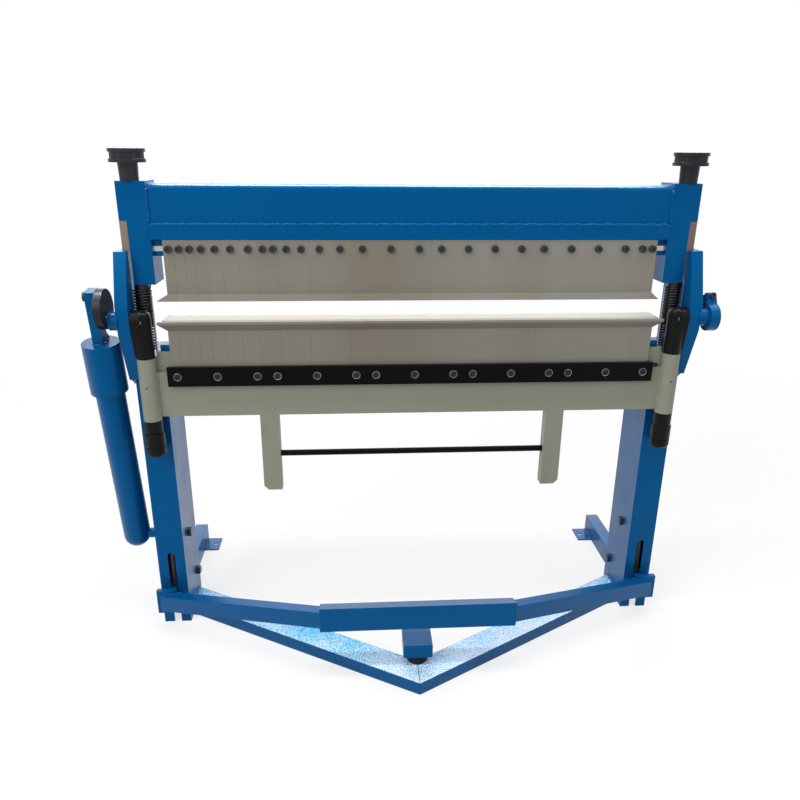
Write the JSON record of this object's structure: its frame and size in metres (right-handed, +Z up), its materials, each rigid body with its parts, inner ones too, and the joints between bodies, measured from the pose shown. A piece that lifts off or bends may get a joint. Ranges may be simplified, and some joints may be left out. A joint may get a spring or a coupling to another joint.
{
  "type": "box and pan brake",
  "caption": "Floor-standing box and pan brake: a foot pedal clamps sheet under a row of removable fingers, and a swinging apron with a balance cylinder folds it.",
  "frame": {"origin": "on the floor, midway between the two floor bolt holes of the rear feet", "axes": "+Z up, +X to the operator's right along the bend, +Y from the operator's side to the back"},
  "size_m": [1.5964, 0.792, 1.297],
  "materials": {
    "blue_paint": "glossy",
    "grey_paint": "satin",
    "finger_steel": "satin",
    "bare_steel": "satin",
    "screw_steel": "satin",
    "spring_black": "satin",
    "black_steel": "satin",
    "bronze": "satin",
    "buffer_rubber": "matte"
  },
  "bodies": {
    "frame": {"post_left": "blue_paint", "post_right": "blue_paint", "side_plate_left": "blue_paint", "side_plate_right": "blue_paint", "pivot_bushes": "bronze", "base_leg_left": "blue_paint", "base_leg_right": "blue_paint", "rear_feet": "blue_paint", "bed_beam": "blue_paint", "bed_nose": "finger_steel", "post_bolts": "screw_steel", "anchor_bar": "blue_paint", "pedal_stop_block": "blue_paint", "pedal_stop_buffer": "buffer_rubber", "clamp_spring_left": "spring_black", "clamp_spring_right": "spring_black"},
    "tie_rods": {"tie_rods": "bare_steel"},
    "clamp": {"clamp_beam": "blue_paint", "clamp_ledge": "blue_paint", "finger_rail": "blue_paint", "key_strip": "finger_steel", "end_block_left": "blue_paint", "end_block_right": "blue_paint", "guide_strips": "bare_steel", "upper_finger_screws": "screw_steel", "upper_finger_01": "finger_steel", "upper_finger_02": "finger_steel", "upper_finger_03": "finger_steel", "upper_finger_04": "finger_steel", "upper_finger_05": "finger_steel", "upper_finger_06": "finger_steel", "upper_finger_07": "finger_steel", "upper_finger_08": "finger_steel", "upper_finger_09": "finger_steel", "upper_finger_10": "finger_steel", "upper_finger_11": "finger_steel", "upper_finger_12": "finger_steel", "upper_finger_13": "finger_steel", "upper_finger_14": "finger_steel"},
    "knob_left": {"knob_left": "black_steel"},
    "knob_right": {"knob_right": "black_steel"},
    "pedal": {"pedal_frame": "blue_paint", "pedal_levers": "blue_paint"},
    "hinge": {"hinge_blocks": "black_steel", "pivot_shafts": "bare_steel", "crank_disc": "black_steel"},
    "apron": {"apron_plate": "grey_paint", "lower_fingers": "finger_steel", "clamp_bars": "black_steel", "clamp_bar_screws": "screw_steel", "handle_arms": "grey_paint", "grip_rod": "black_steel"},
    "adjuster_left": {"adjuster_left": "black_steel"},
    "adjuster_right": {"adjuster_right": "black_steel"},
    "stop_collar": {"stop_collar": "blue_paint", "collar_bolt": "screw_steel"},
    "balance_cylinder": {"balance_cylinder": "blue_paint", "balance_spring": "spring_black"},
    "balance_sleeve": {"balance_sleeve": "blue_paint", "crank_bolt": "screw_steel"}
  },
  "joints": [
    {"name": "rod_pull", "type": "slide", "parent": "frame", "child": "tie_rods", "axis": [0, 0, 1], "range_m": [-0.013, 0], "stiffness_N_per_m": 30000, "springref_m": 0.08, "deforming": ["clamp_spring_left", "clamp_spring_right"]},
    {"name": "jaw_height", "type": "slide", "parent": "tie_rods", "child": "clamp", "axis": [0, 0, 1], "range_m": [-0.032, 0], "deforming": ["clamp_spring_left", "clamp_spring_right"]},
    {"name": "knob_left_turn", "type": "hinge", "parent": "clamp", "child": "knob_left", "pos_m": [-0.675, -0.403, 1.26], "axis": [0, 0, 1], "continuous": true},
    {"name": "knob_right_turn", "type": "hinge", "parent": "clamp", "child": "knob_right", "pos_m": [0.675, -0.403, 1.26], "axis": [0, 0, 1], "continuous": true},
    {"name": "pedal_press", "type": "hinge", "parent": "frame", "child": "pedal", "pos_m": [0, -0.296, 0.093], "axis": [1, 0, 0], "range_deg": [0, 7]},
    {"name": "apron_swing", "type": "hinge", "parent": "frame", "child": "hinge", "pos_m": [0, -0.453, 0.9], "axis": [-1, 0, 0], "range_deg": [0, 120]},
    {"name": "apron_drop", "type": "slide", "parent": "hinge", "child": "apron", "axis": [0, 0, 1], "range_m": [-0.004, 0]},
    {"name": "adjuster_left_turn", "type": "hinge", "parent": "apron", "child": "adjuster_left", "pos_m": [-0.67, -0.453, 0.6], "axis": [0, 0, 1], "continuous": true},
    {"name": "adjuster_right_turn", "type": "hinge", "parent": "apron", "child": "adjuster_right", "pos_m": [0.67, -0.453, 0.6], "axis": [0, 0, 1], "continuous": true},
    {"name": "stop_collar_turn", "type": "hinge", "parent": "hinge", "child": "stop_collar", "pos_m": [0.758, -0.453, 0.9], "axis": [1, 0, 0], "continuous": true},
    {"name": "balance_lean", "type": "hinge", "parent": "frame", "child": "balance_cylinder", "pos_m": [-0.7805, -0.355, 0.258], "axis": [-1, 0, 0], "range_deg": [0, 3.66]},
    {"name": "balance_stroke", "type": "slide", "parent": "balance_cylinder", "child": "balance_sleeve", "axis": [0, -0.1383, 0.9904], "range_m": [-0.09519, 0]}
  ],
  "couplings": [
    {"joint": "pedal_press", "follows": "rod_pull", "rad_per_m": -9.3979},
    {"joint": "balance_lean", "follows": "apron_swing", "ratio": 0.03038},
    {"joint": "balance_stroke", "follows": "apron_swing", "m_per_rad": -0.0454}
  ]
}
